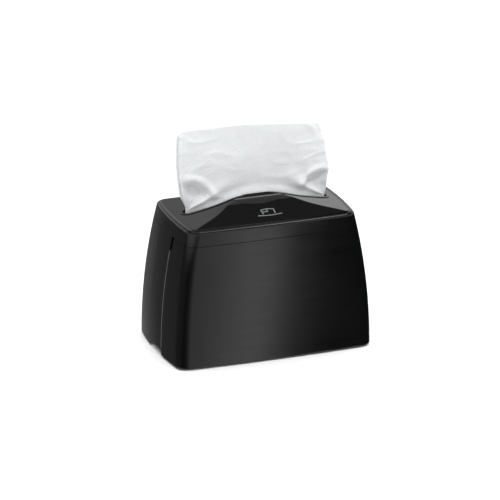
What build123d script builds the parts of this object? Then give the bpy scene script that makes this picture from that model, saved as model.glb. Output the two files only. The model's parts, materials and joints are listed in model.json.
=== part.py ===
from build123d import *

# Countertop dispenser for interfolded napkins, as an assembly of separate pieces.
#
# Millimetres. +Z is up, the front faces -Y, +X is to the right of someone facing the front. The
# origin is on the counter, under the middle of the object.
#
# An arch housing carries the faceted top with its dispensing slot, and one strip down each end. A
# front cover and a rear cover close the space between the strips. The front cover pulls straight
# forward on two tongues, once the latch lever at each end is pressed through the slit beside the
# seam. Inside, two springs push a plate and the napkin stack up against stop ribs.

import os
from math import sqrt

# Walls: each is a surface of revolution that bows out in plan and leans in with height --------
SKIRT_Z = 2.5  # lower edge of the covers above the counter
LENGTH = 205.0  # corner to corner along X, at the skirt
DEPTH = 124.0  # corner to corner along Y, at the skirt
END_BOW = 5.0  # how far an end wall bows out in plan
FACE_BOW = 2.8  # how far the front and rear walls bow out in plan
END_LEAN_R = 611.0  # radius of an end wall's upright profile
FACE_LEAN_R = 1094.0  # radius of a front or rear wall's upright profile
CORNER_R = 12.0
WALL = 2.2
SEAM = 0.5  # visible width of the parting lines
BLOCK_TOP = 175.0  # the wall blocks are drawn up to here and then cut by the roof
END_SECTOR = 20.0  # half angle of the sector that an end wall is drawn as
FACE_SECTOR = 8.0

# Roof -----------------------------------------------------------------------------------------
LAND_Z = 142.4  # flat land around the facets
EDGE_R = 3.2  # rounding from the walls to the land
ROOF_INSET = 4.4  # the facets begin this far inside the walls
END_SLOPE = 0.175
END_SWELL = [(60.0, 147.1), (42.5, 150.8), (23.0, 156.0), (11.0, 157.9), (0.0, 158.3)]
FACE_SLOPE = 0.28
FACE_SWELL = [(20.0, 151.7), (14.0, 153.9), (9.5, 156.7), (6.5, 157.7), (0.0, 157.9)]
GROOVE_INSET = 3.6
GROOVE_DEPTH = 0.9
GROOVE_HALF = 76.0
ROOF_T = 2.4

SLOT_L = 154.0
SLOT_W = 12.0
BEAD_W = 2.2
BEAD_H = 0.6
SCOOP_R = 50.0  # plan radius of the thumb scoop's outline
SCOOP_Y = -19.5  # foremost point of the scoop
SCOOP_Z = 150.7  # floor of the scoop at its foremost point
SCOOP_RISE = 0.40  # slope of the scoop's floor
SCOOP_WALL_Z = 157.2  # the sweep meets the lip at this height
SCOOP_COVE_Y = -11.5  # the sweep up to the lip starts here
SCOOP_BACK = 1.5  # material kept round the scoop

# Parting lines and the laps behind them ---------------------------------------------------------
PARTING_Z = 127.3
STRIP_HALF = 17.0
STRIP_Z = 8.0  # lower edge of the housing's end strips
LAP = 4.0  # how far a lap reaches past the seam
LAP_OUT = 1.4  # the lap's depths below the outer skin
LAP_IN = 2.6
REBATE = 1.1  # skin left on a cover in front of a lap
SLIT_W = 4.6
SLIT_H = 13.0

# Base -------------------------------------------------------------------------------------------
BASE_Z = 5.0
BASE_T = 2.5
FLOOR_Z = BASE_Z + BASE_T
BASE_INSET = 2.8
FOOT_X = 90.0
FOOT_Y = 36.0
FOOT_R = 8.0
SCREW_R = 1.3
SCREW_HEAD_R = 2.8
SCREW_HEAD_H = 1.7
FLANGE_SCREWS = [(x, y) for x in (-96.0, 96.0) for y in (-9.0, 9.0)]
BOSS_SCREWS = [(-55.0, 57.0), (55.0, 57.0)]
BOSS_R = 3.6
BOSS_H = 11.5
BOSS_WEB_T = 2.4
BOSS_WEB_L = 6.0
SCREW_SLACK = 0.2
RECESS_W = 0.8
RECESS_H = 1.6
FOOT_CHAMFER = 1.0
PLUG_R = 2.5
FLANGE_T = 3.0
FLANGE_X = 88.0
SCREW_L = 8.0

# Napkins and magazine -----------------------------------------------------------------------------
NAPKIN_L = 165.0
NAPKIN_W = 100.0
STACK_TOP = 130.0
PUSHER_Z = 88.0  # top face of the pusher with the stack against the ribs
PUSHER_T = 2.5
PUSHER_H = 6.0  # from the top face down to the rim's lower edge
PUSHER_WALL = 2.0
SIDE_X = NAPKIN_L / 2 + 0.8
SIDE_T = 1.6
SIDE_TOP = 124.0
SIDE_HALF = 44.0
BACK_Y = NAPKIN_W / 2 + 0.8
BACK_HALF = 74.0
BACK_TOP = 127.0
GUIDE_Y = 30.0
GUIDE_W = 6.0
SPRING_X = 38.0
SPRING_R = 14.0
SPRING_WIRE = 0.6  # radius
SPRING_TURNS = 8
SEAT_GAP = 0.1
SPIGOT_R = 12.4
SPIGOT_H = 5.0
GUIDE_FOOT = 14.0
TAB_X = 84.0
TAB_L = 5.0
PAD_L = 8.0
PAD_W = 12.0
PAD_T = 2.0
WINDOW_W = 16.0
WINDOW_Z = 57.5  # middle of the windows in the magazine's sides
WINDOW_H = 70.0
BACK_WINDOWS_X = (-48.0, -16.0, 16.0, 48.0)
BACK_WINDOW_Z = 68.0
BACK_WINDOW_H = 80.0
PLATE_CORNER_R = 4.0
PLATE_EDGE_R = 1.0
STACK_CORNER_R = 1.5

# Latches: the levers are drawn pressed, with the hooks clear of the cover's catches -----------------
LEVER_Z = 113.0
LEVER_H = 8.5
PIN_X = 90.5
PIN_Y = -4.0
PIN_R = 1.0
LEVER_SWING = 5.5  # degrees from pressed to engaged
CATCH_Y = -27.0
CATCH_T = 2.0
CATCH_X = 90.2  # inner face of a catch

LUG_T = 2.0
LUG_W = 8.0
LUG_LENGTH = 9.0
BARREL_H = 4.4
LATCH_COIL_R = 1.75
LATCH_WIRE = 0.3  # radius
LATCH_TURNS = 4.5
LONG_LEG = 9.0
SHORT_LEG = 4.5
BARREL_R = 2.0
LEVER_T = 2.4
NECK_L = 3.2
PIN_TAIL = 0.6
PIN_HEAD_R = 1.7
PIN_HEAD_H = 0.8
PIN_SLACK = 0.05
# the lever in plan: arm, thumb pad, cranked neck and hook, as (distance from PIN_X, y)
LEVER_OUTLINE = [
    (-1.2, -6.8), (1.2, -6.8), (1.2, -16.9), (2.2, -17.3), (2.2, -18.6), (-0.9, -20.5),
    (-0.9, -28.5), (1.7, -28.5), (0.2, -31.2), (-2.9, -31.2), (-2.9, -20.5), (-1.2, -18.0),
]

# Cover slides ----------------------------------------------------------------------------------------
TONGUE_X = 66.0
TONGUE_T = 3.0
TONGUE_H = 6.0
TONGUE_Z = 9.0
TONGUE_END = -8.0
RAIL_W = 7.0
RAIL_H = 9.6
SLIDE_GAP = 0.3
RAIL_FRONT = -55.0
RAIL_L = 48.0
RIB_FOOT = 20.0
RIB_T = 2.0
STOP_RIBS_X = (-62.0, -32.0, 32.0, 62.0)
COVER_RIBS_X = (-48.0, 0.0, 48.0)
COVER_RIB_Y = -51.5  # the cover's ribs end here, just in front of the stack

# Top napkin: its upper half, from the stack up through the slot -----------------------------------------
SHEET_T = 1.2
SHEET_WAIST = 73.0  # half width where the slot squeezes it
SHEET_LEFT = [(-73.0, 149.0), (-80.0, 163.5), (-84.0, 176.0), (-84.6, 198.0), (-83.6, 226.0)]
SHEET_TOP = [(-79.0, 229.4), (-8.0, 230.2), (44.0, 227.0), (70.0, 223.4)]
SHEET_RIGHT = [(75.5, 206.3), (79.4, 184.0), (80.4, 173.3), (77.6, 157.5), (73.0, 146.0)]

END_BOW_R = ((DEPTH / 2) ** 2 + END_BOW**2) / (2 * END_BOW)
FACE_BOW_R = ((LENGTH / 2) ** 2 + FACE_BOW**2) / (2 * FACE_BOW)
END_X = LENGTH / 2 + END_BOW
FACE_Y = DEPTH / 2 + FACE_BOW
BLOCK_FOOT = SKIRT_Z - 2.0
WIDE = 130.0  # half size of the prisms that cut the blocks

os.makedirs("parts", exist_ok=True)


def save(builder, name):
    """Label a finished piece and write it to its own STEP file."""
    builder.part.label = name
    export_step(builder.part, f"parts/{name}.step")


def wall_reach(reach, lean_r, z, inset=0.0):
    """Distance of a wall, or of its skin at that inset, from the middle at height z."""
    radius = lean_r - inset
    return reach - inset - radius + sqrt(radius**2 - (z - SKIRT_Z) ** 2)


def wall_block(reach, bow_r, lean_r, inset, turn, half_angle):
    """Sector of a solid of revolution whose outer skin is one wall, facing that way."""
    spine = Vector(reach - bow_r, 0, 0).rotate(Axis.Z, turn)
    outward = Vector(1, 0, 0).rotate(Axis.Z, turn - half_angle)
    plane = Plane(origin=spine, x_dir=outward, z_dir=outward.rotate(Axis.Z, -90))
    shift = bow_r - reach
    profile = [
        (shift + wall_reach(reach, lean_r, z, inset), z)
        for z in (BLOCK_FOOT, (BLOCK_FOOT + BLOCK_TOP) / 2, BLOCK_TOP)
    ]
    with BuildPart() as block:
        with BuildSketch(plane):
            with BuildLine():
                ThreePointArc(*profile)
                Polyline(profile[2], (0, BLOCK_TOP), (0, BLOCK_FOOT), profile[0])
            make_face()
        revolve(axis=Axis(spine, (0, 0, 1)), revolution_arc=2 * half_angle)
    return block.part


def body_block(inset):
    """The four walls and their rounded corners as one solid block, that far inside the skin."""
    right = wall_block(END_X, END_BOW_R, END_LEAN_R, inset, 0, END_SECTOR)
    left = wall_block(END_X, END_BOW_R, END_LEAN_R, inset, 180, END_SECTOR)
    front = wall_block(FACE_Y, FACE_BOW_R, FACE_LEAN_R, inset, -90, FACE_SECTOR)
    rear = wall_block(FACE_Y, FACE_BOW_R, FACE_LEAN_R, inset, 90, FACE_SECTOR)
    with BuildPart() as block:
        add(right)
        add([left], mode=Mode.INTERSECT)
        add([front], mode=Mode.INTERSECT)
        add([rear], mode=Mode.INTERSECT)
        uprights = block.edges().filter_by(lambda edge: edge.bounding_box().size.Z > WALL * 10)
        fillet(uprights, CORNER_R - inset)
    return block.part


def prism_x(points, half=WIDE):
    """Prism along X over an outline in Y and Z."""
    with BuildPart() as prism:
        with BuildSketch(Plane.YZ):
            with BuildLine():
                Polyline(*points, close=True)
            make_face()
        extrude(amount=half, both=True)
    return prism.part


def mirrored_outline(points):
    """Close an outline, given for the positive side, with its mirror image."""
    return points + [(-across, z) for across, z in reversed(points) if across != 0]


def ridge(plane, slope, swell, drop):
    """Prism under a symmetrical roof profile: a straight slope that swells up to its crest."""
    knots = [(across, z - drop) for across, z in swell]
    eaves = (WIDE, knots[0][1] - slope * (WIDE - knots[0][0]))
    with BuildPart() as prism:
        with BuildSketch(plane):
            with BuildLine():
                Line(eaves, knots[0])
                Spline(*knots, tangents=[(-1, slope), (-1, 0)])
                Polyline(knots[-1], (0, 0), (WIDE, 0), eaves)
            make_face()
            mirror(about=Plane.YZ)
        extrude(amount=WIDE, both=True)
    return prism.part


def facets(drop):
    """Everything under the four roof facets, lowered by that drop."""
    end_ridge = ridge(Plane.XZ, END_SLOPE, END_SWELL, drop)
    face_ridge = ridge(Plane.YZ, FACE_SLOPE, FACE_SWELL, drop)
    with BuildPart() as under:
        add(end_ridge)
        add([face_ridge], mode=Mode.INTERSECT)
    return under.part


# Solids that the shells are cut from ------------------------------------------------------------------
block = body_block(0)
hollow = body_block(WALL)
lap_outer = body_block(LAP_OUT)
lap_inner = body_block(LAP_IN)
rebate = body_block(REBATE)
roof_column = body_block(ROOF_INSET)
groove_outer = body_block(GROOVE_INSET)
under_roof = facets(0)
under_ceiling = facets(ROOF_T)

arch_zone = prism_x(
    mirrored_outline(
        [(0, STRIP_Z), (STRIP_HALF, STRIP_Z), (STRIP_HALF, PARTING_Z)]
        + [(WIDE, PARTING_Z), (WIDE, BLOCK_TOP), (0, BLOCK_TOP)]
    )
)
lap_half = STRIP_HALF + LAP
lap_z = PARTING_Z - LAP
lap_zone = prism_x(
    mirrored_outline(
        [(0, STRIP_Z), (lap_half, STRIP_Z), (lap_half, lap_z)]
        + [(WIDE, lap_z), (WIDE, PARTING_Z + LAP_IN), (0, PARTING_Z + LAP_IN)]
    )
)
cover_half = STRIP_HALF + SEAM
cover_z = PARTING_Z - SEAM
front_zone = prism_x(
    [(-cover_half, SKIRT_Z), (-cover_half, cover_z), (-WIDE, cover_z), (-WIDE, SKIRT_Z)]
)
rebate_half = lap_half + SEAM
rebate_z = lap_z - SEAM
rebate_zone = prism_x(
    [(0, 0), (-rebate_half, 0), (-rebate_half, rebate_z), (-WIDE, rebate_z)]
    + [(-WIDE, BLOCK_TOP), (0, BLOCK_TOP)]
)

with BuildPart() as flat_cap:
    add(block)
    with Locations((0, 0, LAND_Z)):
        Box(WIDE * 2, WIDE * 2, WIDE, align=(Align.CENTER, Align.CENTER, Align.MIN), mode=Mode.SUBTRACT)
    top_edges = flat_cap.faces().sort_by(Axis.Z)[-1].edges()
    fillet(top_edges, EDGE_R)

with BuildPart() as roof:
    add(roof_column)
    add([under_roof], mode=Mode.INTERSECT)

with BuildPart() as skin:
    add(flat_cap.part)
    add([roof.part])

with BuildPart() as groove:
    add(groove_outer)
    add([roof_column], mode=Mode.SUBTRACT)
    with Locations((0, 0, LAND_Z - GROOVE_DEPTH)):
        Box(
            GROOVE_HALF * 2, WIDE * 2, WIDE,
            align=(Align.CENTER, Align.CENTER, Align.MIN), mode=Mode.INTERSECT,
        )

with BuildPart() as cavity:
    add(hollow)
    add([under_ceiling], mode=Mode.INTERSECT)

with BuildPart() as shell:
    add(skin.part)
    add([cavity.part], mode=Mode.SUBTRACT)

with BuildPart() as laps:
    add(lap_outer)
    add([lap_inner], mode=Mode.SUBTRACT)
    add([lap_zone], mode=Mode.INTERSECT)
    # the latch levers reach forward through these gaps
    with Locations((0, -STRIP_HALF - LAP / 2, LEVER_Z + LEVER_H)):
        Box(WIDE * 2, LAP + 2, LEVER_H * 3, mode=Mode.SUBTRACT)

with BuildPart() as slot_cut:
    with BuildSketch(Plane.XY.offset(PARTING_Z)):
        SlotOverall(SLOT_L, SLOT_W)
    extrude(amount=WIDE)

lip_y = -SLOT_W / 2 - BEAD_W
cove_z = SCOOP_Z + SCOOP_RISE * (SCOOP_COVE_Y - SCOOP_Y)
with BuildPart() as scoop:
    with BuildSketch(Plane.XY.offset(PARTING_Z)):
        with Locations((0, SCOOP_Y + SCOOP_R)):
            Circle(SCOOP_R)
        with Locations((0, lip_y)):
            Rectangle(SLOT_L, SCOOP_R * 4, align=(Align.CENTER, Align.MIN), mode=Mode.SUBTRACT)
    extrude(amount=WIDE)
    with BuildSketch(Plane.YZ):
        with BuildLine():
            scoop_foot = Line((SCOOP_Y, SCOOP_Z), (SCOOP_COVE_Y, cove_z))
            TangentArc(scoop_foot @ 1, (lip_y, SCOOP_WALL_Z), tangent=scoop_foot % 1)
            Polyline(
                (lip_y, SCOOP_WALL_Z), (lip_y, BLOCK_TOP), (SCOOP_Y, BLOCK_TOP), (SCOOP_Y, SCOOP_Z),
            )
        make_face()
    extrude(amount=SLOT_L, both=True, mode=Mode.INTERSECT)

under_bead = facets(-BEAD_H)
with BuildPart() as bead:
    with BuildSketch(Plane.XY.offset(PARTING_Z + LAP)):
        SlotOverall(SLOT_L + 2 * BEAD_W, SLOT_W + 2 * BEAD_W)
    extrude(amount=WIDE)
    add([under_bead], mode=Mode.INTERSECT)
    add([cavity.part], mode=Mode.SUBTRACT)

with BuildPart() as scoop_back:
    with BuildSketch(Plane.XY.offset(SCOOP_Z - ROOF_T)):
        with Locations((0, SCOOP_Y + SCOOP_R)):
            Circle(SCOOP_R + SCOOP_BACK)
        Rectangle(WIDE, WIDE, align=(Align.CENTER, Align.MIN), mode=Mode.SUBTRACT)
    extrude(amount=WIDE)
    add([under_roof], mode=Mode.INTERSECT)

mid_roof = facets(ROOF_T / 2)
with BuildPart() as stop_ribs:
    with Locations(*[(x, 0, STACK_TOP + SLIDE_GAP) for x in STOP_RIBS_X]):
        Box(RIB_T, NAPKIN_W - 6, WIDE, align=(Align.CENTER, Align.CENTER, Align.MIN))
    Box(WIDE * 2, SLOT_W + 8, WIDE * 4, mode=Mode.SUBTRACT)
    add([mid_roof], mode=Mode.INTERSECT)

with BuildPart() as lugs:
    for z in (LEVER_Z - LUG_T - SLIDE_GAP, LEVER_Z + LEVER_H + SLIDE_GAP):
        with Locations((-PIN_X - 2, PIN_Y, z), (PIN_X + 2, PIN_Y, z)):
            Box(LUG_LENGTH, LUG_W, LUG_T, align=(Align.CENTER, Align.CENTER, Align.MIN))
    add([lap_outer], mode=Mode.INTERSECT)
    with Locations((-PIN_X, PIN_Y, LEVER_Z), (PIN_X, PIN_Y, LEVER_Z)):
        Hole(PIN_R)

with BuildPart() as flanges:
    with Locations((0, 0, FLOOR_Z)):
        Box(WIDE * 2, STRIP_HALF * 2 - 4, FLANGE_T, align=(Align.CENTER, Align.CENTER, Align.MIN))
        Box(FLANGE_X * 2, WIDE, WIDE, mode=Mode.SUBTRACT)
    add([lap_outer], mode=Mode.INTERSECT)
    with Locations(*[(x, y, FLOOR_Z + FLANGE_T) for x, y in FLANGE_SCREWS]):
        Hole(SCREW_R)

# Arch housing -------------------------------------------------------------------------------------
with BuildPart() as arch_housing:
    add(shell.part)
    add([arch_zone], mode=Mode.INTERSECT)
    add([laps.part, bead.part, scoop_back.part, stop_ribs.part, lugs.part, flanges.part])
    add([slot_cut.part, scoop.part, groove.part], mode=Mode.SUBTRACT)
save(arch_housing, "arch_housing")

# Covers -------------------------------------------------------------------------------------------
with BuildPart() as relief:
    add(rebate)
    add([rebate_zone], mode=Mode.INTERSECT)

with BuildPart() as half_cover:
    add(shell.part)
    add([front_zone], mode=Mode.INTERSECT)
    add([relief.part], mode=Mode.SUBTRACT)

with BuildPart() as catches:
    with Locations((0, CATCH_Y, LEVER_Z + 1)):
        Box(WIDE * 2, CATCH_T, LEVER_H - 2, align=(Align.CENTER, Align.CENTER, Align.MIN))
        Box(CATCH_X * 2, WIDE, WIDE, mode=Mode.SUBTRACT)
    add([rebate], mode=Mode.INTERSECT)

with BuildPart() as tongues:
    with Locations((-TONGUE_X, TONGUE_END, TONGUE_Z), (TONGUE_X, TONGUE_END, TONGUE_Z)):
        Box(TONGUE_T, DEPTH / 2, TONGUE_H, align=(Align.CENTER, Align.MAX, Align.MIN))
    add([rebate], mode=Mode.INTERSECT)

with BuildPart() as cover_ribs:
    with Locations(*[(x, COVER_RIB_Y, RIB_FOOT) for x in COVER_RIBS_X]):
        Box(RIB_T, DEPTH, lap_z - RIB_FOOT - 2, align=(Align.CENTER, Align.MAX, Align.MIN))
    add([rebate], mode=Mode.INTERSECT)

with BuildPart() as front_cover:
    add(half_cover.part)
    add([catches.part, tongues.part, cover_ribs.part])
    with Locations((0, -STRIP_HALF, cover_z + SEAM)):
        Box(
            WIDE * 2, SLIT_W, SLIT_H,
            align=(Align.CENTER, Align.MAX, Align.MAX), mode=Mode.SUBTRACT,
        )
save(front_cover, "front_cover")

rear_half = mirror(half_cover.part, about=Plane.XZ)
with BuildPart() as rear_cover:
    add(rear_half)
    with Locations(*[(x, y, FLOOR_Z) for x, y in BOSS_SCREWS]):
        Cylinder(BOSS_R, BOSS_H, align=(Align.CENTER, Align.CENTER, Align.MIN))
        Box(BOSS_WEB_T, BOSS_WEB_L, BOSS_H, align=(Align.CENTER, Align.MIN, Align.MIN))
    with Locations(*[(x, y, FLOOR_Z) for x, y in BOSS_SCREWS]):
        Cylinder(
            SCREW_R, SCREW_L - BASE_T,
            align=(Align.CENTER, Align.CENTER, Align.MIN), mode=Mode.SUBTRACT,
        )
save(rear_cover, "rear_cover")

# Base ---------------------------------------------------------------------------------------------
base_outline = body_block(BASE_INSET)
with BuildPart() as base_plate:
    with Locations((0, 0, BASE_Z)):
        Box(WIDE * 2, WIDE * 2, BASE_T, align=(Align.CENTER, Align.CENTER, Align.MIN))
    add([base_outline], mode=Mode.INTERSECT)
    for side in (-1, 1):
        with Locations((side * TONGUE_X, RAIL_FRONT, FLOOR_Z)):
            Box(RAIL_W, RAIL_L, RAIL_H, align=(Align.CENTER, Align.MIN, Align.MIN))
        with Locations((side * TONGUE_X, RAIL_FRONT, TONGUE_Z - SLIDE_GAP)):
            Box(
                TONGUE_T + SLIDE_GAP * 2, RAIL_L, TONGUE_H + SLIDE_GAP * 2,
                align=(Align.CENTER, Align.MIN, Align.MIN), mode=Mode.SUBTRACT,
            )
        with Locations((side * SPRING_X, 0, FLOOR_Z)):
            Cylinder(SPIGOT_R, SPIGOT_H, align=(Align.CENTER, Align.CENTER, Align.MIN))
            Cylinder(
                SPIGOT_R - WALL, SPIGOT_H,
                align=(Align.CENTER, Align.CENTER, Align.MIN), mode=Mode.SUBTRACT,
            )
    with Locations(*[(x, y, FLOOR_Z) for x, y in FLANGE_SCREWS + BOSS_SCREWS]):
        Hole(SCREW_R + SCREW_SLACK)
    with Locations(*[(x, y, FLOOR_Z) for x in (-FOOT_X, FOOT_X) for y in (-FOOT_Y, FOOT_Y)]):
        Hole(PLUG_R)
save(base_plate, "base_plate")

for end_name, x in (("left", -FOOT_X), ("right", FOOT_X)):
    for face_name, y in (("front", -FOOT_Y), ("rear", FOOT_Y)):
        with BuildPart() as foot:
            with Locations((x, y, 0)):
                Cylinder(FOOT_R, BASE_Z, align=(Align.CENTER, Align.CENTER, Align.MIN))
            chamfer(foot.edges().sort_by(Axis.Z)[0], FOOT_CHAMFER)
            with Locations((x, y, BASE_Z)):
                Cylinder(PLUG_R, BASE_T, align=(Align.CENTER, Align.CENTER, Align.MIN))
        save(foot, f"foot_{face_name}_{end_name}")


def screws(places):
    """Pan-head screws driven up from below the base, one solid each."""
    with BuildPart() as group:
        with Locations(*[(x, y, BASE_Z) for x, y in places]):
            Cylinder(SCREW_R, SCREW_L, align=(Align.CENTER, Align.CENTER, Align.MIN))
            Cylinder(SCREW_HEAD_R, SCREW_HEAD_H, align=(Align.CENTER, Align.CENTER, Align.MAX))
        with Locations(*[(x, y, BASE_Z - SCREW_HEAD_H) for x, y in places]):
            Box(SCREW_HEAD_R, RECESS_W, RECESS_H, mode=Mode.SUBTRACT)
            Box(RECESS_W, SCREW_HEAD_R, RECESS_H, mode=Mode.SUBTRACT)
    return group


save(screws(FLANGE_SCREWS), "base_screws")
save(screws(BOSS_SCREWS), "rear_cover_screws")

# Magazine -------------------------------------------------------------------------------------------
for end_name, side in (("left", -1), ("right", 1)):
    with BuildPart() as magazine_side:
        inner_x = side * SIDE_X
        outer_x = side * (SIDE_X + SIDE_T)
        with Locations(((inner_x + outer_x) / 2, 0, FLOOR_Z)):
            Box(
                SIDE_T, SIDE_HALF * 2, SIDE_TOP - FLOOR_Z,
                align=(Align.CENTER, Align.CENTER, Align.MIN),
            )
        with Locations(*[(outer_x + side * 2, y, FLOOR_Z) for y in (-GUIDE_Y, GUIDE_Y)]):
            Box(PAD_L, PAD_W, PAD_T, align=(Align.CENTER, Align.CENTER, Align.MIN))
        with Locations(*[(inner_x, y, GUIDE_FOOT) for y in (-GUIDE_Y, GUIDE_Y)]):
            Box(
                SIDE_T * 4, GUIDE_W + SLIDE_GAP * 2, PUSHER_Z - GUIDE_FOOT,
                align=(Align.CENTER, Align.CENTER, Align.MIN), mode=Mode.SUBTRACT,
            )
        with Locations((inner_x, 0, WINDOW_Z)):
            Box(SIDE_T * 4, WINDOW_W, WINDOW_H, mode=Mode.SUBTRACT)
    save(magazine_side, f"magazine_side_{end_name}")

with BuildPart() as magazine_back:
    with Locations((0, BACK_Y, FLOOR_Z)):
        Box(
            BACK_HALF * 2, SIDE_T, BACK_TOP - FLOOR_Z,
            align=(Align.CENTER, Align.MIN, Align.MIN),
        )
    with Locations(*[(x, BACK_Y, BACK_WINDOW_Z) for x in BACK_WINDOWS_X]):
        Box(WINDOW_W, SIDE_T * 4, BACK_WINDOW_H, mode=Mode.SUBTRACT)
save(magazine_back, "magazine_back")

# Pusher and its springs -------------------------------------------------------------------------------
with BuildPart() as pusher_plate:
    with Locations((0, 0, PUSHER_Z - PUSHER_H)):
        Box(
            SIDE_X * 2 - 2, NAPKIN_W - 2, PUSHER_H,
            align=(Align.CENTER, Align.CENTER, Align.MIN),
        )
    fillet(pusher_plate.edges().filter_by(Axis.Z), PLATE_CORNER_R)
    fillet(pusher_plate.faces().sort_by(Axis.Z)[-1].edges(), PLATE_EDGE_R)
    lower_face = pusher_plate.faces().sort_by(Axis.Z)[0]
    offset(amount=-PUSHER_WALL, openings=lower_face)
    for side in (-1, 1):
        with Locations((side * SPRING_X, 0, PUSHER_Z - PUSHER_T + 1)):
            Cylinder(
                SPIGOT_R, SPIGOT_H - 1, align=(Align.CENTER, Align.CENTER, Align.MAX),
            )
        with Locations(*[(side * TAB_X, y, PUSHER_Z - PUSHER_H) for y in (-GUIDE_Y, GUIDE_Y)]):
            Box(TAB_L, GUIDE_W, PUSHER_H - 1, align=(Align.CENTER, Align.CENTER, Align.MIN))
save(pusher_plate, "pusher_plate")

spring_top = PUSHER_Z - PUSHER_WALL
spring_height = spring_top - FLOOR_Z - SEAT_GAP - 2 * SPRING_WIRE
coil = Helix(spring_height / SPRING_TURNS, spring_height, SPRING_R)
for end_name, side in (("left", -1), ("right", 1)):
    with BuildPart() as pusher_spring:
        with BuildSketch(Plane(origin=coil @ 0, z_dir=coil % 0)):
            Circle(SPRING_WIRE)
        sweep(path=coil, is_frenet=True)
    pusher_spring.part.position += (side * SPRING_X, 0, FLOOR_Z + SEAT_GAP + SPRING_WIRE)
    save(pusher_spring, f"pusher_spring_{end_name}")

# Napkins --------------------------------------------------------------------------------------------
with BuildPart() as napkin_stack:
    with Locations((0, 0, PUSHER_Z)):
        Box(
            NAPKIN_L, NAPKIN_W, STACK_TOP - PUSHER_Z,
            align=(Align.CENTER, Align.CENTER, Align.MIN),
        )
    fillet(napkin_stack.edges().filter_by(Axis.Z), STACK_CORNER_R)
save(napkin_stack, "napkin_stack")

with BuildPart() as top_napkin:
    with BuildSketch(Plane.XZ):
        with BuildLine():
            Polyline(
                (-SHEET_WAIST, STACK_TOP + SLIDE_GAP), *SHEET_LEFT, *SHEET_TOP, *SHEET_RIGHT,
                (SHEET_WAIST, STACK_TOP + SLIDE_GAP), close=True,
            )
        make_face()
    extrude(amount=SHEET_T / 2, both=True)
save(top_napkin, "top_napkin")

# Latches --------------------------------------------------------------------------------------------
for end_name, side in (("left", -1), ("right", 1)):
    with BuildPart() as latch_pin:
        with Locations((side * PIN_X, PIN_Y, LEVER_Z + LEVER_H / 2)):
            Cylinder(PIN_R, LEVER_H + 2 * (LUG_T + SLIDE_GAP) + PIN_TAIL)
        with Locations((side * PIN_X, PIN_Y, LEVER_Z + LEVER_H + LUG_T + SLIDE_GAP)):
            Cylinder(PIN_HEAD_R, PIN_HEAD_H, align=(Align.CENTER, Align.CENTER, Align.MIN))
    save(latch_pin, f"latch_pin_{end_name}")

    with BuildPart() as lever:
        with BuildSketch(Plane.XY.offset(LEVER_Z)):
            with BuildLine():
                Polyline(*[(PIN_X + across, y) for across, y in LEVER_OUTLINE], close=True)
            make_face()
        extrude(amount=LEVER_H)
        with BuildSketch(Plane.XY.offset(LEVER_Z)):
            with Locations((PIN_X, PIN_Y)):
                Circle(BARREL_R)
            with Locations((PIN_X, PIN_Y)):
                Rectangle(LEVER_T, NECK_L, align=(Align.CENTER, Align.MAX))
        extrude(amount=BARREL_H)
        with Locations((PIN_X, PIN_Y, LEVER_Z)):
            Hole(PIN_R + PIN_SLACK)
    swung = lever.part.rotate(Axis((PIN_X, PIN_Y, 0), (0, 0, 1)), -LEVER_SWING)
    with BuildPart() as latch_lever:
        add(swung if side > 0 else mirror(swung, about=Plane.YZ))
    save(latch_lever, f"latch_lever_{end_name}")

    rise = LEVER_H - BARREL_H - 4 * LATCH_WIRE
    latch_coil = Helix(rise / LATCH_TURNS, rise, LATCH_COIL_R).rotate(Axis.Z, 180)
    with BuildPart() as sprung:
        with BuildSketch(Plane(origin=latch_coil @ 0, z_dir=latch_coil % 0)):
            Circle(LATCH_WIRE)
        sweep(path=latch_coil, is_frenet=True)
        with Locations((-LATCH_COIL_R, 0, 0)):
            Cylinder(
                LATCH_WIRE, LONG_LEG,
                rotation=(90, 0, 0), align=(Align.CENTER, Align.CENTER, Align.MIN),
            )
        with Locations((LATCH_COIL_R, 0, rise)):
            Cylinder(
                LATCH_WIRE, SHORT_LEG,
                rotation=(-90, 0, 0), align=(Align.CENTER, Align.CENTER, Align.MIN),
            )
    placed = sprung.part.moved(Location((PIN_X, PIN_Y, LEVER_Z + BARREL_H + 2 * LATCH_WIRE)))
    placed = placed.rotate(Axis((PIN_X, PIN_Y, 0), (0, 0, 1)), -LEVER_SWING)
    with BuildPart() as latch_spring:
        add(placed if side > 0 else mirror(placed, about=Plane.YZ))
    save(latch_spring, f"latch_spring_{end_name}")
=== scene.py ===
import json
import math
import random

import bpy
import bmesh
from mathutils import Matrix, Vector, noise
from mathutils.bvhtree import BVHTree


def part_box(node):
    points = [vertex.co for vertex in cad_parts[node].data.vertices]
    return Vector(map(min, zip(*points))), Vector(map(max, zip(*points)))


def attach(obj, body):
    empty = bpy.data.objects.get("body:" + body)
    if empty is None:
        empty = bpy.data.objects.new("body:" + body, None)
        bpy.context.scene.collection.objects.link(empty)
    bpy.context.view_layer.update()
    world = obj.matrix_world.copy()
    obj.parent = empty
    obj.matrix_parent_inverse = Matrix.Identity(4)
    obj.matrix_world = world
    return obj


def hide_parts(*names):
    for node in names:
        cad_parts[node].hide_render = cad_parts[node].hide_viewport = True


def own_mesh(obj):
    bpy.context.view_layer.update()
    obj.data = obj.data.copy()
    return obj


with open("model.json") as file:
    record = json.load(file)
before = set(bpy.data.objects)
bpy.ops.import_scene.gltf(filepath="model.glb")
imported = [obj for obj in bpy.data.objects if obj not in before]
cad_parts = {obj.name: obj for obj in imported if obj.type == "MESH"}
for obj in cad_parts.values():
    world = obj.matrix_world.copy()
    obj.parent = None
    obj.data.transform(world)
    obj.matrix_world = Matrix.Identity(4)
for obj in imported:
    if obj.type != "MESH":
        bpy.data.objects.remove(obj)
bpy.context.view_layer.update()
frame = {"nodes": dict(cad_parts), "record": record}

MM = 0.001


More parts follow.
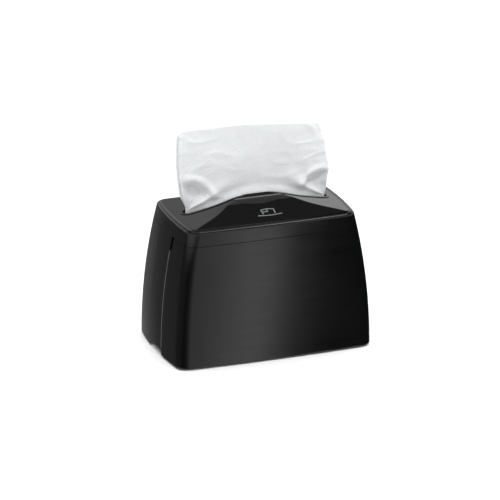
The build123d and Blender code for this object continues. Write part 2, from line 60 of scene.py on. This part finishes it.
# Materials ----------------------------------------------------------------------------------------
class Shader:
    """A node material with helpers for the textures that the finishes share."""

    def __init__(self, name):
        self.material = bpy.data.materials.new(name)
        self.material.use_nodes = True
        self.nodes = self.material.node_tree.nodes
        self.links = self.material.node_tree.links
        self.bsdf = self.nodes["Principled BSDF"]
        self.place = self.nodes.new("ShaderNodeTexCoord").outputs["Object"]

    def put(self, socket, value):
        self.bsdf.inputs[socket].default_value = value

    def noise(self, scale, detail=3.0, stretch=None, roughness=0.5):
        """Noise over the object's own metres, with an optional stretch per axis."""
        texture = self.nodes.new("ShaderNodeTexNoise")
        texture.inputs["Scale"].default_value = scale
        texture.inputs["Detail"].default_value = detail
        texture.inputs["Roughness"].default_value = roughness
        source = self.place
        if stretch:
            mapping = self.nodes.new("ShaderNodeMapping")
            mapping.inputs["Scale"].default_value = stretch
            self.links.new(self.place, mapping.inputs["Vector"])
            source = mapping.outputs["Vector"]
        self.links.new(source, texture.inputs["Vector"])
        return texture.outputs["Fac"]

    def span(self, source, low, high, start=0.3, end=0.7):
        """Map a texture's start..end to low..high."""
        node = self.nodes.new("ShaderNodeMapRange")
        node.inputs["From Min"].default_value = start
        node.inputs["From Max"].default_value = end
        node.inputs["To Min"].default_value = low
        node.inputs["To Max"].default_value = high
        self.links.new(source, node.inputs["Value"])
        return node.outputs["Result"]

    def math(self, operation, first, second):
        node = self.nodes.new("ShaderNodeMath")
        node.operation = operation
        for socket, value in zip(node.inputs, (first, second)):
            if isinstance(value, (int, float)):
                socket.default_value = value
            else:
                self.links.new(value, socket)
        return node.outputs["Value"]

    def tint(self, factor, first, second):
        """Colour between two others by a texture."""
        node = self.nodes.new("ShaderNodeMix")
        node.data_type = "RGBA"
        node.inputs["A"].default_value = (*first, 1)
        node.inputs["B"].default_value = (*second, 1)
        self.links.new(factor, node.inputs["Factor"])
        return node.outputs["Result"]

    def feed(self, source, socket):
        self.links.new(source, self.bsdf.inputs[socket])

    def bump(self, height, strength, distance):
        node = self.nodes.new("ShaderNodeBump")
        node.inputs["Strength"].default_value = strength
        node.inputs["Distance"].default_value = distance
        self.links.new(height, node.inputs["Height"])
        self.feed(node.outputs["Normal"], "Normal")


def gloss_black():
    """Injection-moulded black plastic: orange peel, faint wipe marks and dulled patches."""
    shader = Shader("gloss_black_plastic")
    cloud = shader.noise(scale=14, detail=4)
    colour = shader.tint(cloud, (0.0018, 0.0019, 0.0021), (0.0032, 0.0033, 0.0036))
    shader.feed(colour, "Base Color")
    wipes = shader.noise(scale=60, detail=5, stretch=(0.25, 1.0, 3.5), roughness=0.7)
    dulling = shader.math("ADD", cloud, wipes)
    shader.feed(shader.span(dulling, low=0.09, high=0.15, start=0.7, end=1.3), "Roughness")
    peel = shader.noise(scale=420, detail=2)
    height = shader.math("ADD", peel, shader.math("MULTIPLY", wipes, 0.35))
    shader.bump(height, strength=0.10, distance=0.00003)
    shader.put("IOR", 1.49)
    return shader.material


def matt_plastic(name, dark, light, grain=900):
    """Textured moulded plastic with a fine spark-eroded grain."""
    shader = Shader(name)
    cloud = shader.noise(scale=22, detail=4)
    shader.feed(shader.tint(cloud, dark, light), "Base Color")
    shader.feed(shader.span(cloud, low=0.48, high=0.62), "Roughness")
    shader.bump(shader.noise(scale=grain, detail=3), strength=0.35, distance=0.00008)
    return shader.material


def rubber():
    """Moulded rubber, slightly bloomed."""
    shader = Shader("foot_rubber")
    bloom = shader.noise(scale=160, detail=4)
    shader.feed(shader.tint(bloom, (0.012, 0.012, 0.012), (0.03, 0.029, 0.028)), "Base Color")
    shader.feed(shader.span(bloom, low=0.7, high=0.9), "Roughness")
    shader.bump(shader.noise(scale=1400, detail=2), strength=0.3, distance=0.0001)
    return shader.material


def drawn_steel(name, dark, light, stretch):
    """Metal with fine marks along the way that it was drawn."""
    shader = Shader(name)
    marks = shader.noise(scale=700, detail=4, stretch=stretch)
    shader.feed(shader.tint(marks, dark, light), "Base Color")
    shader.feed(shader.span(marks, low=0.24, high=0.42), "Roughness")
    shader.bump(marks, strength=0.15, distance=0.00003)
    shader.put("Metallic", 1.0)
    return shader.material


def embossing(shader, turn, scale):
    """Rows of ridges over the sheet's face, turned by so many degrees."""
    mapping = shader.nodes.new("ShaderNodeMapping")
    mapping.inputs["Rotation"].default_value = (0, math.radians(turn), 0)
    shader.links.new(shader.place, mapping.inputs["Vector"])
    wave = shader.nodes.new("ShaderNodeTexWave")
    wave.bands_direction = "Z"
    wave.inputs["Scale"].default_value = scale
    wave.inputs["Distortion"].default_value = 1.2
    wave.inputs["Detail"].default_value = 1.0
    shader.links.new(mapping.outputs["Vector"], wave.inputs["Vector"])
    return wave.outputs["Fac"]


def tissue():
    """White two-ply tissue: crossed diagonal embossing, pulp fibres, and some light through it."""
    shader = Shader("napkin_tissue")
    fibres = shader.noise(scale=420, detail=6, stretch=(1.0, 1.0, 0.55), roughness=0.65)
    shader.feed(shader.tint(fibres, (0.70, 0.72, 0.73), (0.78, 0.795, 0.80)), "Base Color")
    rising = embossing(shader, turn=35, scale=120)
    falling = embossing(shader, turn=-35, scale=150)
    ridges = shader.math("ADD", rising, falling)
    height = shader.math("ADD", shader.math("MULTIPLY", fibres, 0.8), ridges)
    shader.bump(height, strength=0.5, distance=0.00022)
    shader.put("Roughness", 0.92)
    shader.put("Specular IOR Level", 0.2)
    shader.put("Sheen Weight", 0.1)
    shader.put("Subsurface Weight", 0.15)
    shader.put("Subsurface Radius", (0.003, 0.003, 0.003))
    shader.put("Subsurface Scale", 0.3)
    return shader.material


def silver_print():
    """Metallic ink with fine flakes."""
    shader = Shader("silver_print")
    flake = shader.noise(scale=2500, detail=2)
    shader.feed(shader.tint(flake, (0.42, 0.43, 0.45), (0.66, 0.67, 0.69)), "Base Color")
    shader.feed(shader.span(flake, low=0.28, high=0.45), "Roughness")
    shader.put("Metallic", 0.85)
    return shader.material


tissue_finish = tissue()
silver_finish = silver_print()
# painted highlight: pale grey for the glint along the front cover's rounded edges at the seams
seam_highlight_finish = matt_plastic("painted_seam_highlight", (0.20, 0.20, 0.205), (0.34, 0.34, 0.345), grain=1500)
steel_finish = drawn_steel(
    "drawn_steel", (0.42, 0.42, 0.43), (0.68, 0.68, 0.69), stretch=(1, 1, 0.2),
)
finish_of_slot = {
    "shell": gloss_black(),
    "base": matt_plastic("base_plastic", (0.014, 0.014, 0.015), (0.028, 0.028, 0.029)),
    "inner": matt_plastic("magazine_plastic", (0.06, 0.062, 0.065), (0.09, 0.092, 0.095)),
    "pusher": matt_plastic("pusher_plastic", (0.36, 0.37, 0.38), (0.44, 0.45, 0.46), grain=700),
    "latch": matt_plastic(
        "latch_plastic", (0.09, 0.092, 0.095), (0.13, 0.132, 0.135), grain=1200,
    ),
    "foot": rubber(),
    "steel": steel_finish,
    "screw": drawn_steel("plated_screw", (0.3, 0.3, 0.31), (0.5, 0.5, 0.51), stretch=(1, 1, 1)),
    "napkin": tissue_finish,
}
for part in frame["record"]["subparts"]:
    node = frame["nodes"][part["node"]]
    for slot in node.material_slots:
        slot.material = finish_of_slot[part["material_slot"]]


# Napkins ------------------------------------------------------------------------------------------
def make_piece(name, mesh, finish, smooth=True):
    piece = bpy.data.objects.new(name, mesh)
    bpy.context.scene.collection.objects.link(piece)
    mesh.materials.append(finish)
    for face in mesh.polygons:
        face.use_smooth = smooth
    return piece


def blend_curve(points, where):
    """Smooth value through (place, value) pairs."""
    if where <= points[0][0]:
        return points[0][1]
    for (p0, v0), (p1, v1) in zip(points, points[1:]):
        if where <= p1:
            t = (where - p0) / (p1 - p0)
            return v0 + (v1 - v0) * t * t * (3 - 2 * t)
    return points[-1][1]


def fade(value, start, end):
    """0 below start, 1 above end, smooth between."""
    t = min(1.0, max(0.0, (value - start) / (end - start)))
    return t * t * (3 - 2 * t)


sheet_low, sheet_high = (Vector(corner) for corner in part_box("top_napkin"))
stack_low, stack_high = (Vector(corner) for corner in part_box("napkin_stack"))
NAPKIN_WIDTH = stack_high.x - stack_low.x

# the standing napkin's edges, as (height, x) pairs
LEFT_EDGE = [
    (0.130, -0.0735), (0.147, -0.0740), (0.168, -0.0815), (0.183, -0.0832), (0.200, -0.0838),
    (0.230, -0.0826),
]
RIGHT_EDGE = [
    (0.130, 0.0740), (0.143, 0.0752), (0.158, 0.0780), (0.173, 0.0802), (0.200, 0.0765),
    (0.212, 0.0735), (0.226, 0.0695),
]
# the roof's lip that it leans on, as (distance from the middle, height) pairs
LIP = [(0.0, 0.1588), (0.023, 0.1555), (0.0425, 0.1512), (0.072, 0.1468), (0.1, 0.145)]

TOP_Z = 0.2292  # its top edge, at the middle
RIGHT_FALL = 0.0068  # how much lower the top edge is at the right
LEFT_FALL = 0.0038  # and at the left corner
FRONT_INSET = 0.0030  # the front ply's free edge lies this far inside the rear ply's
FREE_FROM_Z = 0.149  # the sheet bows and curls from this height up
LIP_LEAN = 0.0034  # how far it lies forward below the lip
BOW = 0.0034  # how far it bows back at the top
CURL = 0.0085  # how far its right top corner bends back
SWAY = 0.0009  # depth of the slow waves
CREASE = 0.0007  # of the sharp creases
PULL = 0.0011  # of the folds that the slot pulls in at the sides
CRINKLE = 0.0003  # and of the fine crinkles
PLY_GAP = 0.0007  # between the two plies at the fold
PLY_SPREAD = 0.0012  # and this much more at the free edges
FOLD_FROM = 0.985  # the plies close round the fold from here to the right edge
PLY_THICKNESS = 0.00022

# a pocket's rims: how far they stand forward and how wide they are
SIDE_RIM, SIDE_RIM_DEGREES = 0.0028, 9
TOP_RIM, TOP_RIM_WIDTH = 0.0020, 0.0035
# a pocket ends at this angle from straight up, and at so many times its reach
POCKET_DEGREES, POCKET_REACHES = 120, 2.2
# the hollow starts this many degrees on the far side of straight up
POCKET_LEAD = 10


def pocket(x, z, corner, side, reach, spread, depth):
    """Hollow that opens out of a lower corner, where the slot gathers the sheet, and its rims.

    side is 1 or -1, the way to the sheet's middle; spread is in degrees from straight up.
    """
    across, up = (x - corner[0]) * side, z - corner[1]
    radius = math.hypot(across, up)
    angle = math.degrees(math.atan2(across, up))
    if angle > POCKET_DEGREES or radius > reach * POCKET_REACHES:
        return 0.0
    along = min(1.0, radius / reach)
    turn = min(1.0, max(0.0, (angle + POCKET_LEAD) / (spread + POCKET_LEAD)))
    opening = math.sin(math.pi * turn) ** 0.6
    hollow = depth * along ** 1.1 * (1 - fade(radius, reach * 0.80, reach * 1.02)) * opening
    side_rim = SIDE_RIM * math.exp(-((angle - spread) / SIDE_RIM_DEGREES) ** 2) * along
    side_rim *= 1 - fade(radius, reach, reach * 2.1)
    inside = fade(angle, -12, 4) * (1 - fade(angle, spread, spread + 14))
    top_rim = TOP_RIM * math.exp(-((radius - reach * 1.08) / TOP_RIM_WIDTH) ** 2) * inside
    return hollow - side_rim - top_rim


def wrinkles(x, z, across, layer):
    """Depth of the waves, creases and crinkles in the part that stands free of the slot."""
    sway = SWAY * noise.noise(Vector((x * 26 + z * 30, z * 12 - x * 9, 1.7)))
    line = 1 - abs(noise.noise(Vector((x * 22 - z * 20, z * 55 + x * 18, 4.2))))
    crease = CREASE * fade(line, 0.72, 1.0) * (0.35 + 0.65 * abs(2 * across - 1))
    near_sides = math.exp(-(across / 0.16) ** 2) + math.exp(-((1 - across) / 0.20) ** 2)
    pull = PULL * near_sides * noise.noise(Vector((x * 20, z * 120, 7.7)))
    crinkle = CRINKLE * noise.noise(Vector((x * 90, z * 90, 2.2 + layer)))
    return (sway - crease + pull + crinkle) * fade(z, 0.146, 0.160)


def napkin_point(across, up, layer):
    """Point on the standing napkin. across and up run 0..1, layer is 0 in front and 1 behind."""
    fall = RIGHT_FALL * max(0.0, across - 0.45) ** 1.3 / 0.46
    top = TOP_Z - fall - LEFT_FALL * (1 - fade(across, 0, 0.07))
    z = sheet_low.z + (top - sheet_low.z) * up
    left = blend_curve(LEFT_EDGE, z)
    right = blend_curve(RIGHT_EDGE, z)
    if layer == 0:
        left += FRONT_INSET * (1 - 0.4 * up) * fade(z, 0.148, 0.165)
    x = left + (right - left) * across

    y = pocket(x, z, (-0.0765, 0.1445), side=1, reach=0.033, spread=62, depth=0.0080) \
        * fade(across, 0.0, 0.07)
    y += pocket(x, z, (0.0765, 0.1440), side=-1, reach=0.030, spread=58, depth=0.0070) \
        * fade(1 - across, 0.0, 0.05)
    lip = blend_curve(LIP, abs(x))
    below_lip = 1 - fade(z, lip - 0.004, lip + 0.009)
    y -= LIP_LEAN * below_lip * fade(min(across, 1 - across), 0.02, 0.2)
    over = max(0.0, (z - FREE_FROM_Z) / (sheet_high.z - FREE_FROM_Z))
    y += BOW * over * math.sin(math.pi * (across * 1.25 + 0.15))
    y += CURL * max(0.0, across - 0.72) ** 1.5 * over ** 1.4 / 0.148
    y += wrinkles(x, z, across, layer)
    gap = PLY_GAP + PLY_SPREAD * (1 - across) ** 3 * over
    half = 0.5 if across < FOLD_FROM else 0.5 * (1 - across) / (1 - FOLD_FROM)
    y += gap * half * (1 if layer else -1)
    return Vector((x, y, z))


def standing_napkin():
    """Upper half of one napkin, doubled over: free edges at the left and the fold at the right."""
    columns, rows = 190, 130
    last = 2 * columns - 1
    mesh = bpy.data.meshes.new("standing_napkin")
    edit = bmesh.new()
    grid = []
    for row in range(rows + 1):
        up = row / rows
        line = []
        for step in range(2 * columns):
            layer = 0 if step < columns else 1
            across = (last - step if layer else step) / columns
            line.append(edit.verts.new(napkin_point(across, up, layer)))
        grid.append(line)
    for lower, upper in zip(grid, grid[1:]):
        for step in range(last):
            edit.faces.new((lower[step], lower[step + 1], upper[step + 1], upper[step]))
    edit.to_mesh(mesh)
    edit.free()
    piece = make_piece("standing_napkin", mesh, tissue_finish)
    thicken = piece.modifiers.new("ply", "SOLIDIFY")
    thicken.thickness = PLY_THICKNESS
    thicken.offset = 0
    return piece


PACKETS = 24
HALF_PACKET = 0.47  # each half's share of the pitch, which leaves a thin dark line between
RIM_SHARE = 0.35  # a half's thickness at its rim, as a share of the rest
RIPPLE = 0.06 * MM
SIDE_GAP, END_GAP = 1.6 * MM, 2.2 * MM  # less than the stack's width and depth


def half_packet(edit, foot, thick, depth, shift, variant):
    """One soft half of a folded napkin, closed, with a thin rim."""
    columns, rows = 34, 22
    sides = []
    for way in (-1, 1):
        sheet = []
        for row in range(rows + 1):
            y = (row / rows - 0.5) * depth
            line = []
            for column in range(columns + 1):
                x = (column / columns - 0.5) * (NAPKIN_WIDTH - SIDE_GAP)
                on_rim = min(row, rows - row, column, columns - column) == 0
                ripple = RIPPLE * noise.noise(Vector((x * 40, y * 40, variant)))
                bulge = RIM_SHARE if on_rim else 1.0
                z = foot + thick * 0.5 + way * thick * 0.5 * bulge + ripple
                line.append(edit.verts.new(Vector((x, y, z)) + shift))
            sheet.append(line)
        sides.append(sheet)
    under, over = sides
    for row in range(rows):
        for column in range(columns):
            turn = ((row, column), (row, column + 1), (row + 1, column + 1), (row + 1, column))
            edit.faces.new([over[r][c] for r, c in turn])
            edit.faces.new([under[r][c] for r, c in (turn[0], turn[3], turn[2], turn[1])])
    rim = [(0, c) for c in range(columns)] + [(r, columns) for r in range(rows)]
    rim += [(rows, c) for c in range(columns, 0, -1)] + [(r, 0) for r in range(rows, 0, -1)]
    for (r0, c0), (r1, c1) in zip(rim, rim[1:] + rim[:1]):
        edit.faces.new((under[r0][c0], under[r1][c1], over[r1][c1], over[r0][c0]))


def folded_napkins():
    """The stack: doubled and folded napkins, each a soft packet in two halves."""
    random.seed(4)
    pitch = (stack_high.z - stack_low.z) / PACKETS
    mesh = bpy.data.meshes.new("folded_napkins")
    edit = bmesh.new()
    for index in range(PACKETS):
        shift = Vector((random.uniform(-0.4, 0.4), random.uniform(-0.5, 0.5), 0)) * MM
        for half in (0, 1):
            foot = stack_low.z + pitch * (index + half * 0.5)
            trim = random.uniform(0, 0.7) * MM
            depth = stack_high.y - stack_low.y - END_GAP - trim
            half_packet(edit, foot, pitch * HALF_PACKET, depth, shift, index * 1.3)
    edit.to_mesh(mesh)
    edit.free()
    return make_piece("folded_napkins", mesh, tissue_finish, smooth=False)


sheet_piece = standing_napkin()
sheet_piece.visible_glossy = False
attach(sheet_piece, "top_napkin")
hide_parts("top_napkin")

stack_piece = folded_napkins()
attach(stack_piece, "pusher")
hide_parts("napkin_stack")


def closing_coil(side):
    """A pusher spring, copied from the part in drawn steel and carried with the housing."""
    node = frame["nodes"]["pusher_spring_" + side]
    coil = bpy.data.objects.new("coil_" + side, node.data.copy())
    bpy.context.scene.collection.objects.link(coil)
    coil.matrix_world = node.matrix_world.copy()
    coil.data.materials.clear()
    coil.data.materials.append(steel_finish)
    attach(coil, "housing")
    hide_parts("pusher_spring_" + side)
    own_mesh(coil)


for end in ("left", "right"):
    closing_coil(end)


# Marks on the housing -----------------------------------------------------------------------------
def housing_surface():
    """The housing's surface, for the rays that lay a mark on it."""
    housing = frame["nodes"]["arch_housing"]
    return BVHTree.FromObject(housing, bpy.context.evaluated_depsgraph_get())


def close_bar(edit, rings):
    """Skin over four-point rings, with both ends closed."""
    for before, after in zip(rings, rings[1:]):
        for index in range(4):
            follow = (index + 1) % 4
            edit.faces.new((before[index], before[follow], after[follow], after[index]))
    edit.faces.new(rings[0])
    edit.faces.new(list(reversed(rings[-1])))


def finish_mesh(edit, mesh):
    bmesh.ops.recalc_face_normals(edit, faces=edit.faces)
    edit.to_mesh(mesh)
    edit.free()


MARK_MIDDLE = Vector((0.0015, -0.0350, 0))
MARK_STROKES = [
    [(-12.5, -4.6), (-4.0, -5.4), (4.0, -5.4), (12.5, -4.6)],
    [(-6.4, -2.6), (-7.2, 3.8), (-1.6, 5.4), (6.6, 4.2), (5.8, -2.6)],
    [(-1.6, 5.4), (-0.6, 0.8), (-6.9, 1.2)],
]  # mm from the middle, seen from above
STROKE_HALF = 0.55  # mm, half a stroke's width
STROKE_END = 0.3  # mm that each stretch runs on, so the corners fill
STROKE_SUNK, STROKE_RAISED = -0.05, 0.10  # mm from the surface


def pictogram():
    """Generic mark on the front facet: a folded sheet over a bar, as a thin raised print."""
    tree = housing_surface()
    mesh = bpy.data.meshes.new("sheet_pictogram")
    edit = bmesh.new()
    steps = 6
    for line in MARK_STROKES:
        for start, end in zip(line, line[1:]):
            p0, p1 = Vector((*start, 0)), Vector((*end, 0))
            ahead = (p1 - p0).normalized()
            aside = Vector((-ahead.y, ahead.x, 0)) * STROKE_HALF
            corners = (
                (aside, STROKE_SUNK), (aside, STROKE_RAISED),
                (-aside, STROKE_RAISED), (-aside, STROKE_SUNK),
            )
            run = p1 - p0 + ahead * (2 * STROKE_END)
            rings = []
            for step in range(steps + 1):
                spot = p0 - ahead * STROKE_END + run * (step / steps)
                ring = []
                for offset, lift in corners:
                    place = MARK_MIDDLE + (spot + offset) * MM
                    from_above = Vector((place.x, place.y, 0.3))
                    hit = tree.ray_cast(from_above, Vector((0, 0, -1)))[0]
                    ring.append(edit.verts.new((place.x, place.y, hit.z + lift * MM)))
                rings.append(ring)
            close_bar(edit, rings)
    finish_mesh(edit, mesh)
    return make_piece("sheet_pictogram", mesh, silver_finish, smooth=False)


mark = pictogram()
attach(mark, "housing")

SEAM_Y = -0.01695  # where the cover's edge meets the housing
SEAM_RAY_Y = -0.0168  # just behind it, on the housing
SEAM_FOOT, SEAM_TOP = 0.0095, 0.1125
SEAM_WIDTH = 0.00034
SEAM_SUNK, SEAM_RAISED = -0.0003, 0.00004  # from the housing's surface


def seam_edge(side):
    """Painted highlight: a pale strip on the housing at the front cover's edge, standing in for the
    glint along that rounded edge, below the latch slit.
    """
    tree = housing_surface()
    mesh = bpy.data.meshes.new("seam_edge")
    edit = bmesh.new()
    rows = 60
    rings = []
    for row in range(rows + 1):
        z = SEAM_FOOT + (SEAM_TOP - SEAM_FOOT) * row / rows
        outside = Vector((side * 0.3, SEAM_RAY_Y, z))
        x = tree.ray_cast(outside, Vector((-side, 0, 0)))[0].x
        foot_taper = 0.55 + 0.45 * fade(row, 0, 8)
        top_taper = 0.6 + 0.4 * fade(rows - row, 0, 12)
        front = SEAM_Y - SEAM_WIDTH * foot_taper * top_taper
        corners = (
            (SEAM_Y, SEAM_SUNK), (SEAM_Y, SEAM_RAISED), (front, SEAM_RAISED), (front, SEAM_SUNK),
        )
        rings.append([edit.verts.new((x + side * lift, y, z)) for y, lift in corners])
    close_bar(edit, rings)
    finish_mesh(edit, mesh)
    name = "seam_edge_left" if side < 0 else "seam_edge_right"
    return make_piece(name, mesh, seam_highlight_finish, smooth=False)


for side in (-1, 1):
    strip = seam_edge(side)
    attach(strip, "housing")


# Studio -------------------------------------------------------------------------------------------
FLOOR_HALF = 6.0


def studio_floor():
    """Plain white sweep, left out of the gloss, which sees the surround instead."""
    mesh = bpy.data.meshes.new("floor")
    half = FLOOR_HALF
    corners = [(-half, -half, 0), (half, -half, 0), (half, half, 0), (-half, half, 0)]
    mesh.from_pydata(corners, [], [(0, 1, 2, 3)])
    shader = Shader("studio_floor")
    patches = shader.noise(scale=6, detail=3)
    shader.feed(shader.tint(patches, (0.90, 0.90, 0.90), (0.93, 0.93, 0.93)), "Base Color")
    shader.put("Roughness", 0.8)
    shader.put("Specular IOR Level", 0.1)
    piece = make_piece("floor", mesh, shader.material, smooth=False)
    piece.visible_glossy = False


def area_light(name, place, aim, size, power, glossy=False):
    """Rectangular light of so many watts, pointed at aim."""
    data = bpy.data.lights.new(name, "AREA")
    data.shape = "RECTANGLE"
    data.size, data.size_y = size
    data.energy = power
    light = bpy.data.objects.new(name, data)
    light.location = place
    light.rotation_euler = (Vector(aim) - Vector(place)).to_track_quat("-Z", "Y").to_euler()
    light.visible_glossy = glossy
    light.visible_camera = False
    bpy.context.scene.collection.objects.link(light)


# what the gloss sees level with it or below, as brightness by compass angle, in degrees from the
# front with right positive
SURROUND = [
    (-180, 0.40), (-168, 0.22), (-156, 0.11), (-120, 0.10), (-80, 0.12), (-60, 0.06),
    (-40, 0.03), (-12, 0.15), (0, 0.40), (12, 0.52), (15, 0.72), (17.5, 1.60), (19.3, 1.60),
    (21.3, 0.25), (24, 0.02), (140, 0.02), (155, 0.15), (170, 0.35), (180, 0.40),
]
# what it sees above, as brightness by the height of a unit direction
OVERHEAD = [
    (0.0, 0.9), (0.21, 0.95), (0.43, 0.52), (0.60, 0.16), (0.74, 0.09), (0.79, 0.05),
    (0.83, 0.35), (0.88, 0.70), (0.94, 0.70), (1.0, 0.6),
]
# between these heights one passes into the other
BLEND_FROM, BLEND_TO = -0.05, 0.08
PEAK = 1.7  # the brightness that a ramp's white stands for


def level_ramp(nodes, stops):
    """Colour ramp in grey through (position, brightness) pairs."""
    ramp = nodes.new("ShaderNodeValToRGB")
    ramp.color_ramp.interpolation = "EASE"
    stop_list = ramp.color_ramp.elements
    while len(stop_list) > 1:
        stop_list.remove(stop_list[-1])
    for index, (position, level) in enumerate(stops):
        stop = stop_list[0] if index == 0 else stop_list.new(position)
        stop.position = position
        stop.color = (level / PEAK, level / PEAK, level / PEAK, 1)
    return ramp


def studio_world():
    """A room of soft pale and dark zones, as cards round a product shot would make."""
    world = bpy.data.worlds.new("studio")
    world.use_nodes = True
    nodes, links = world.node_tree.nodes, world.node_tree.links
    split = nodes.new("ShaderNodeSeparateXYZ")
    links.new(nodes.new("ShaderNodeTexCoord").outputs["Generated"], split.inputs["Vector"])

    def math_node(operation, first, second):
        node = nodes.new("ShaderNodeMath")
        node.operation = operation
        for socket, value in zip(node.inputs, (first, second)):
            if isinstance(value, (int, float)):
                socket.default_value = value
            else:
                links.new(value, socket)
        return node.outputs["Value"]

    ahead = math_node("MULTIPLY", split.outputs["Y"], -1.0)
    angle = math_node("ARCTAN2", split.outputs["X"], ahead)
    turn = math_node("ADD", math_node("MULTIPLY", angle, 0.5 / math.pi), 0.5)
    around = level_ramp(nodes, [(degrees / 360 + 0.5, level) for degrees, level in SURROUND])
    links.new(turn, around.inputs["Fac"])
    above = level_ramp(nodes, OVERHEAD)
    links.new(split.outputs["Z"], above.inputs["Fac"])
    blend = nodes.new("ShaderNodeMapRange")
    blend.interpolation_type = "SMOOTHSTEP"
    blend.inputs["From Min"].default_value = BLEND_FROM
    blend.inputs["From Max"].default_value = BLEND_TO
    links.new(split.outputs["Z"], blend.inputs["Value"])
    mix = nodes.new("ShaderNodeMix")
    mix.data_type = "RGBA"
    links.new(blend.outputs["Result"], mix.inputs["Factor"])
    links.new(around.outputs["Color"], mix.inputs["A"])
    links.new(above.outputs["Color"], mix.inputs["B"])
    links.new(mix.outputs["Result"], nodes["Background"].inputs["Color"])
    nodes["Background"].inputs["Strength"].default_value = PEAK
    bpy.context.scene.world = world


studio_floor()
studio_world()
area_light("overhead", place=(0.0, 0.2, 2.2), aim=(0, 0, 0), size=(3.2, 3.2), power=98)
area_light("key", place=(-1.5, -1.6, 2.0), aim=(0, 0, 0.12), size=(0.8, 0.8), power=6)
area_light(
    "edge_light", place=(0.55, -0.55, 1.45), aim=(0, 0, 0.12), size=(0.5, 0.5), power=3.0,
    glossy=True,
)


# Camera -------------------------------------------------------------------------------------------
AZIMUTH = math.radians(-20.28)
ELEVATION = math.radians(20.13)
DISTANCE = 4.048
LENS = 288.0
SENSOR = 36.0
AIM_HEIGHT = 0.0649
AIM_RIGHT, AIM_UP = -0.00506, 0.0284  # from there, as the camera sees it
back = Vector((
    math.sin(AZIMUTH) * math.cos(ELEVATION),
    -math.cos(AZIMUTH) * math.cos(ELEVATION),
    math.sin(ELEVATION),
))
right = Vector((math.cos(AZIMUTH), math.sin(AZIMUTH), 0))
above = back.cross(right)
aim = Vector((0, 0, AIM_HEIGHT)) + AIM_RIGHT * right + AIM_UP * above
camera_data = bpy.data.cameras.new("camera")
camera_data.lens = LENS
camera_data.sensor_width = SENSOR
camera = bpy.data.objects.new("camera", camera_data)
camera.location = aim + back * DISTANCE
camera.rotation_euler = (-back).to_track_quat("-Z", "Y").to_euler()
bpy.context.scene.collection.objects.link(camera)
bpy.context.scene.camera = camera
bpy.context.scene.view_settings.view_transform = "Standard"

bpy.context.view_layer.update()
